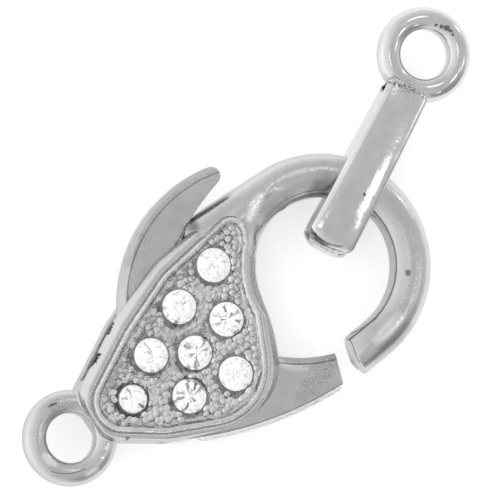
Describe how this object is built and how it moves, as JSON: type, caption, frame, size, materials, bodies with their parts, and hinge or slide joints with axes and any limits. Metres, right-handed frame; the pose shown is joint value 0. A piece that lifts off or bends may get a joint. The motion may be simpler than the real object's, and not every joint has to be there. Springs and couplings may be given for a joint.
{
  "type": "lobster clasp with a swivelling link",
  "caption": "Cast lobster clasp with a stone-set housing, a sprung lever gate and a loose band link with its own ring, for a bracelet or necklace.",
  "frame": {"origin": "centre of the tail eye's round hole, at the middle of the ring's thickness", "axes": "+X from the eye to the hook along the clasp, +Y towards the lever's thumb tab, +Z out of the stone-set front"},
  "size_m": [0.0463, 0.021, 0.0047],
  "materials": {
    "cast_metal": "silver-grey plated casting, softly polished",
    "bright_metal": "bright polished plating",
    "pin_steel": "plain drawn steel",
    "cut_glass": "clear faceted glass with a silvered back"
  },
  "bodies": {
    "clasp": {"body": "cast_metal", "pivot_pin": "pin_steel", "spring": "pin_steel", "stone_1": "cut_glass", "stone_2": "cut_glass", "stone_3": "cut_glass", "stone_4": "cut_glass", "stone_5": "cut_glass", "stone_6": "cut_glass", "stone_7": "cut_glass", "stone_8": "cut_glass"},
    "lever": {"lever": "cast_metal"},
    "link": {"link": "bright_metal"}
  },
  "joints": [
    {"name": "lever_pivot", "type": "hinge", "parent": "clasp", "child": "lever", "pos_m": [0.0062, 0.0012, 0], "axis": [0, 0, 1], "range_deg": [0, 25], "stiffness_Nm_per_rad": 0.004, "springref_deg": -28.65},
    {"name": "link_slide_round", "type": "hinge", "parent": "clasp", "child": "link", "pos_m": [0.02345, 0, 0], "axis": [0, 0, 1], "range_deg": [-60, 40]}
  ]
}
